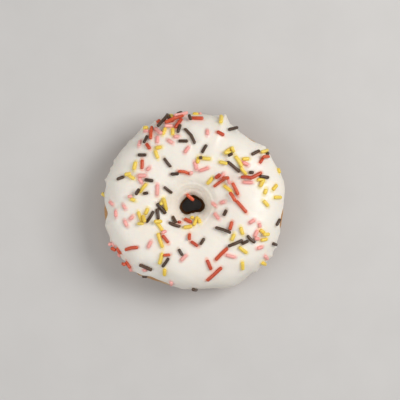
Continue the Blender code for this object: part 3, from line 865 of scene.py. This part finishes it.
SHORT_LINES = settle_all()
LINES = {colour: np.concatenate([LONG_LINES[colour], SHORT_LINES[colour]]) for colour in COLOURS}
heights = {colour: round(float(lines[:, :, 2].max()), 1) for colour, lines in LINES.items()}
print("highest line in mm:", heights)

# %% [markdown]
# All strands of one colour are made as one array and one mesh.  A rod's radius follows a
# squarish cap, r = R (1 - (1 - s/c)^p)^(1/p) over the first c millimetres from each end, and
# is nearly constant between.  Each rod gets its own thickness and its own shade, kept in an
# attribute that the sugar's material reads.

# %% Shape of a rod
RINGS = 7                         # rings of points along a rod
SIDES = 10                        # points in each ring
CAP = 0.75                        # length of its rounded end
CAP_POWER = 2.4
CAP_RINGS = (0.10, 0.42, 1.0)     # where its rings lie, as shares of it


def rod_rings(lengths):
    """Shares along each rod for its rings, and the radius there as a share of the full one."""
    inset = np.array(CAP_RINGS) * CAP
    size = (1.0 - (1.0 - inset / CAP) ** CAP_POWER) ** (1.0 / CAP_POWER)
    near = -1.0 + 2.0 * inset[None] / lengths[:, None]
    near = np.minimum(near, -0.08)
    shares = np.concatenate([near, np.zeros((len(lengths), 1)), -near[:, ::-1]], axis=1)
    return shares, np.concatenate([size, [1.0], size[::-1]])


def rod_points(lines, fatness, seed):
    """Vertices of every rod: rings of points round each line, then its two tips.

    A point is the line's centre there, plus the radius along a spoke that turns round it.
    Each rod bows a little to one side, by a parabola of its own height.
    """
    rng = np.random.default_rng(seed)
    count = len(lines)
    along = lines[:, 2] - lines[:, 0]
    lengths = np.linalg.norm(along, axis=1)
    along = along / lengths[:, None]
    side = np.cross(along, [0.0, 0.0, 1.0])
    side /= np.linalg.norm(side, axis=1)[:, None]
    up = np.cross(side, along)
    shares, size = rod_rings(lengths)
    start, middle, end = lines[:, None, 0], lines[:, None, 1], lines[:, None, 2]
    u = shares[:, :, None]
    bow = rng.normal(0.0, 0.018, (count, 1, 1)) * lengths[:, None, None] * side[:, None]
    centre = middle + 0.5 * (end - start) * u + (0.5 * (start + end) - middle - bow) * u * u + bow
    radius = fatness * STRAND_RADIUS * rng.normal(1.0, 0.05, (count, 1, 1)) * size[None, :, None]
    radius = radius * rng.normal(1.0, 0.025, (count, RINGS, SIDES))
    turn = 2.0 * math.pi * (np.arange(SIDES) / SIDES + rng.uniform(0.0, 1.0, (count, 1)))
    spoke = np.cos(turn)[:, :, None] * side[:, None] + np.sin(turn)[:, :, None] * up[:, None]
    rings = centre[:, :, None] + radius[:, :, :, None] * spoke[:, None]
    tips = np.stack([start[:, 0], end[:, 0]], axis=1)
    return np.concatenate([rings.reshape(count, -1, 3), tips], axis=1)


print("rings of a 5 mm rod lie at", np.round(rod_rings(np.array([5.0]))[0][0], 2))

# %% Faces of the rods
def rod_faces(count):
    """Faces of every rod: quads along it, then a fan of triangles at each tip."""
    ring, side = np.meshgrid(np.arange(RINGS - 1), np.arange(SIDES), indexing="ij")
    ahead = (side + 1) % SIDES
    quads = np.stack([ring * SIDES + side, ring * SIDES + ahead,
                      (ring + 1) * SIDES + ahead, (ring + 1) * SIDES + side], axis=-1)
    step = np.arange(SIDES)
    after = (step + 1) % SIDES
    tip = np.full(SIDES, RINGS * SIDES)
    far = (RINGS - 1) * SIDES
    fans = np.concatenate([np.stack([tip, after, step], axis=1),
                           np.stack([tip + 1, far + step, far + after], axis=1)])
    first = np.arange(count)[:, None, None] * (RINGS * SIDES + 2)
    return ((quads.reshape(-1, 4) + first).reshape(-1, 4).tolist()
            + (fans + first).reshape(-1, 3).tolist())


print("a rod has", (RINGS - 1) * SIDES + 2 * SIDES, "faces")

# %% [markdown]
# Pressed sugar is smooth but never glassy; pale specks on it are painted highlight, small glints
# painted into its colour.  The four colours differ only in their dye, so one group gives all of
# them the same grain and the same slow wander in tone, and each material puts its own dye into it.

# %% Sugar finishes
DYES = {"red": ((0.730, 0.120, 0.038), (0.480, 0.040, 0.014)),
        "brown": ((0.100, 0.050, 0.024), (0.046, 0.022, 0.011)),
        "yellow": ((0.920, 0.700, 0.130), (0.860, 0.590, 0.065)),
        "pink": ((0.945, 0.470, 0.420), (0.885, 0.345, 0.310))}


def sugar_tone_group():
    """Tone from the strand's own shade and soft noise, and the height of its fine grain."""
    group, _, coords, result = new_group("sugar_tone", [], ["Tone", "Grain"])
    shade = group.nodes.new("ShaderNodeAttribute")
    shade.attribute_name = "shade"
    noise = group.nodes.new("ShaderNodeTexNoise")
    noise.inputs["Scale"].default_value = 600.0
    noise.inputs["Detail"].default_value = 2.0
    grain = group.nodes.new("ShaderNodeTexNoise")
    grain.inputs["Scale"].default_value = 3200.0
    grain.inputs["Detail"].default_value = 3.0
    link = group.links.new
    for texture in (noise, grain):
        link(coords.outputs["Object"], texture.inputs["Vector"])
    half = arithmetic(group, "MULTIPLY", noise.outputs["Fac"], 0.5)
    link(arithmetic(group, "ADD", half, shade.outputs["Fac"]), result.inputs["Tone"])
    link(grain.outputs["Fac"], result.inputs["Grain"])
    return group


SUGAR_TONE = sugar_tone_group()


def sugar_material(colour):
    """Satin sugar in one dye: its tone wanders from strand to strand and along each, with painted
    highlight specks.
    """
    material, tree, shader = new_material("sugar_" + colour)
    light, deep = DYES[colour]
    group = use_group(tree, SUGAR_TONE)
    tone = spread(tree, group.outputs["Tone"], 0.1, 1.0, 0.0, 1.0, smooth=False)
    # painted highlight: pale specks where the fine grain is high stand in for small glints
    painted_glints = spread(tree, group.outputs["Grain"], 0.55, 0.72, 0.0, 0.45)
    pale = tuple(0.8 * channel + 0.12 for channel in light)
    dyed = mix_colour(tree, tone, light, deep)
    tree.links.new(mix_colour(tree, painted_glints, dyed, pale), shader.inputs["Base Color"])
    tree.links.new(spread(tree, group.outputs["Grain"], 0.3, 0.7, 0.24, 0.42),
                   shader.inputs["Roughness"])
    tree.links.new(bump(tree, group.outputs["Grain"], 0.00004), shader.inputs["Normal"])
    shader.inputs["Subsurface Weight"].default_value = 0.12
    shader.inputs["Subsurface Radius"].default_value = (0.0010, 0.0006, 0.0004)
    shader.inputs["Subsurface Scale"].default_value = 1.0
    return material


def make_strands(colour, seed):
    """All strands of one colour as one piece, standing for that colour's nodes."""
    lines = LINES[colour]
    points = rod_points(lines, FATNESS[colour], seed)
    piece = make_object(colour + "_strands", points, rod_faces(len(lines)),
                        sugar_material(colour))
    shade = np.random.default_rng(seed + 10).uniform(0.0, 0.6, (len(lines), 1))
    float_attribute(piece.data, "shade", np.broadcast_to(shade, points.shape[:2]))
    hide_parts(*LONG_NODES[colour])


for number, colour in enumerate(COLOURS):
    make_strands(colour, 20 + number)

# %% [markdown]
# While the icing is wet it climbs a little way up every strand, and the dye bleeds into it.
# Both follow the distance d from the icing's surface to the strand's line: the icing rises
# by M exp(-(d^2 - r^2) / w^2), and the tint fades the same way.  This is what makes the
# strands look set in the icing and not laid on it.

# %% Icing round the strands
CLIMB = {"red": 0.35, "brown": 0.35, "yellow": 0.45, "pink": 0.50}
BLEED = {"red": (1.0, 0.66, 0.58), "brown": (0.80, 0.74, 0.70),
         "yellow": (1.0, 0.92, 0.58), "pink": (1.0, 0.70, 0.69)}
CLIMB_START = 0.72                # r^2 in the rule above
CLIMB_FADE = 1.1                  # w^2
BLEED_FADE = 0.55                 # how far the dye reaches
NEARBY = 9.0                      # half size of the block of icing looked at for each strand


def distance_to_line(points, line):
    """Distance from each point to a strand's straight chord."""
    chord = line[2] - line[0]
    share = np.clip(((points - line[0]) @ chord) / (chord @ chord), 0.0, 1.0)
    return np.linalg.norm(points - line[0] - share[:, None] * chord, axis=1)


def wet_rise(points):
    """How much the icing rises at each point beside the strands, and its tint there."""
    flat = points.reshape(-1, 3)
    rise = np.zeros(len(flat))
    tint = np.ones((len(flat), 3))
    for colour, lines in LINES.items():
        for line in lines:
            close = np.abs(flat - 0.5 * (line[0] + line[2])).max(axis=1) < NEARBY
            d = distance_to_line(flat[close], line)
            here = CLIMB[colour] * np.exp(-np.maximum(d * d - CLIMB_START, 0.0) / CLIMB_FADE)
            rise[close] = np.maximum(rise[close], here)
            beyond = np.maximum(d - FATNESS[colour] * STRAND_RADIUS, 0.0)
            fade = np.exp(-(beyond / BLEED_FADE) ** 2)
            tint[close] *= 1.0 - fade[:, None] * (1.0 - np.array(BLEED[colour]))
    return rise.reshape(points.shape[:2]), tint.reshape(points.shape)


ICING_RISE, ICING_TINT = wet_rise(ICING_TOP)
print("icing climbs", round(float(ICING_RISE.max()), 2), "mm at most")

# %% [markdown]
# Set sugar icing is almost white and slightly see-through, so it glows softly and looks
# warmer where it is thin.  Its skin is satin, with pinhole bubbles and faint wrinkles from
# drying.  A clear coat would make it look wet, so the sheen comes from the roughness alone.

# %% Icing finish
ICING_WHITE = (0.900, 0.847, 0.766)
ICING_CLOUD = (0.855, 0.785, 0.692)
THIN_ICING = (0.760, 0.640, 0.480)


def icing_material():
    """Satin sugar icing: cloudy warm white, warmer where thin, tinted beside the strands."""
    material, tree, shader = new_material("white_icing")
    clouds = use_group(tree, SOFT_NOISE, Scale=75.0, Detail=4.0, Low=0.35, High=0.70).outputs[0]
    streaks = use_group(tree, SOFT_NOISE, Scale=260.0, Detail=4.0, Low=0.40, High=0.75).outputs[0]
    colour = mix_colour(tree, arithmetic(tree, "MULTIPLY", clouds, 0.55), ICING_WHITE, ICING_CLOUD)
    colour = mix_colour(tree, arithmetic(tree, "MULTIPLY", streaks, 0.25), colour, ICING_CLOUD)
    thin = tree.nodes.new("ShaderNodeAttribute")
    thin.attribute_name = "thin"
    colour = mix_colour(tree, thin.outputs["Fac"], colour, THIN_ICING)
    dye = tree.nodes.new("ShaderNodeAttribute")
    dye.attribute_name = "dye"
    colour = mix_colour(tree, 1.0, colour, dye.outputs["Color"], "MULTIPLY")
    tree.links.new(colour, shader.inputs["Base Color"])
    tree.links.new(spread(tree, streaks, 0.0, 1.0, 0.36, 0.52), shader.inputs["Roughness"])
    bubbles = use_group(tree, PITS, Scale=230.0, Radius=0.16).outputs[0]
    skin = use_group(tree, SOFT_NOISE, Scale=520.0, Detail=5.0, Low=0.25, High=0.75).outputs[0]
    normal = bump(tree, bubbles, 0.00006)
    normal = bump(tree, skin, 0.00007, normal)
    tree.links.new(normal, shader.inputs["Normal"])
    shader.inputs["Subsurface Weight"].default_value = 0.25
    shader.inputs["Subsurface Radius"].default_value = (0.0022, 0.0016, 0.0011)
    shader.inputs["Subsurface Scale"].default_value = 1.0
    return material


ICING_FINISH = icing_material()
print("made", ICING_FINISH.name)

# %% The icing
THIN_REACH = 0.9                  # how far from its edges the icing looks thin
THIN_AT_EDGE = 0.35
THIN_ON_SIDE = 0.30
STEEP_FROM = 0.55                 # height of the normal where a side begins to count as steep


def thinness(points, surface_lean):
    """How thin the icing looks, from 0 to 0.5.

    It fades from both edges as exp(-distance / reach), and grows with the steepness of a side.
    """
    from_rim, from_hole = along_section(points)
    edge = np.exp(-np.minimum(from_rim, from_hole) / THIN_REACH)
    steep = np.clip(STEEP_FROM - surface_lean[:, :, 2], 0.0, 1.0)
    return np.clip(THIN_AT_EDGE * edge + THIN_ON_SIDE * steep, 0.0, 0.5)


def make_icing():
    """The icing as one closed skin: its top, raised beside the strands, and its underside."""
    raised = ICING_TOP + ICING_LEAN * ICING_RISE[:, :, None]
    loop = np.concatenate([raised, ICING_UNDER[:, ::-1]], axis=1)
    faces = ring_faces(ICING_AROUND, loop.shape[1]).tolist()
    icing = make_object("sugar_icing", loop, faces, ICING_FINISH)
    plain = np.zeros(ICING_UNDER.shape[:2])
    thin = np.concatenate([thinness(ICING_TOP, ICING_LEAN), plain], axis=1)
    float_attribute(icing.data, "thin", thin)
    dye = np.concatenate([ICING_TINT, np.ones(ICING_UNDER.shape)], axis=1)
    colour_attribute(icing.data, "dye", dye)
    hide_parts("white_icing")


make_icing()

# %% [markdown]
# The stage is a plain pale floor.  One large soft light stands to the right, as a window
# would, a weaker one fills in from the left, and a pale world lifts the shadows.  Both lights
# stand about halfway up, so neither shines to the bottom of the hole, which stays dark.  The
# camera looks straight down on the ring from a little over a metre.

# %% Floor
FLOOR_REACH = 3.0                 # metres, each way from the middle
FLOOR_LEVEL = -0.0002             # a hair under the ring


def add_floor():
    """A pale matt floor under the ring, with a faint grain."""
    mesh = bpy.data.meshes.new("floor")
    turns = ((-1, -1), (1, -1), (1, 1), (-1, 1))
    corners = [(x * FLOOR_REACH, y * FLOOR_REACH, FLOOR_LEVEL) for x, y in turns]
    mesh.from_pydata(corners, [], [(0, 1, 2, 3)])
    material, tree, shader = new_material("pale_floor")
    grain = use_group(tree, SOFT_NOISE, Scale=40.0, Detail=3.0, Low=0.2, High=0.8).outputs[0]
    tree.links.new(mix_colour(tree, grain, (0.58, 0.565, 0.55), (0.61, 0.595, 0.58)),
                   shader.inputs["Base Color"])
    shader.inputs["Roughness"].default_value = 0.8
    mesh.materials.append(material)
    floor = bpy.data.objects.new("floor", mesh)
    bpy.context.scene.collection.objects.link(floor)


add_floor()
print("floor is", 2.0 * FLOOR_REACH, "m across")

# %% Lights
def add_light(name, place, size, power_in_watts, colour):
    """A square soft light aimed at the ring."""
    light = bpy.data.lights.new(name, "AREA")
    light.size = size
    light.energy = power_in_watts
    light.color = colour
    lamp = bpy.data.objects.new(name, light)
    lamp.location = place
    aim = Vector((0.0, 0.0, 0.015)) - Vector(place)
    lamp.rotation_euler = aim.to_track_quat("-Z", "Y").to_euler()
    bpy.context.scene.collection.objects.link(lamp)


def add_world(colour, strength):
    """A plain pale world."""
    world = bpy.data.worlds.new("pale_room")
    world.use_nodes = True
    background = world.node_tree.nodes["Background"]
    background.inputs["Color"].default_value = (*colour, 1.0)
    background.inputs["Strength"].default_value = strength
    bpy.context.scene.world = world


add_light("window", (0.495, 0.18, 0.62), 0.42, 4.15, (1.0, 0.990, 0.975))
add_light("fill", (-0.55, -0.20, 0.62), 0.6, 2.3, (1.0, 0.995, 0.99))
add_world((1.0, 1.0, 1.0), 0.365)
bpy.context.scene.view_settings.view_transform = "Standard"
print("lights:", [light.name for light in bpy.data.lights])

# %% Camera
LOOK_AT = np.array([3.06 + PLACE[0], 1.02 + PLACE[1], 18.0]) * MM
CAMERA_DISTANCE = 1.1             # metres
VIEW_WIDTH = 0.204
FILM_WIDTH = 36.0                 # millimetres, as the lens is


def add_camera():
    """A camera straight above the ring: lens / film width = distance / width of the view."""
    data = bpy.data.cameras.new("camera")
    data.sensor_width = FILM_WIDTH
    data.lens = FILM_WIDTH * CAMERA_DISTANCE / VIEW_WIDTH
    data.clip_start = 0.01
    camera = bpy.data.objects.new("camera", data)
    camera.location = LOOK_AT + np.array([0.0, 0.0, CAMERA_DISTANCE])
    bpy.context.scene.collection.objects.link(camera)
    bpy.context.scene.camera = camera


add_camera()
print("lens", round(bpy.context.scene.camera.data.lens, 1), "mm")
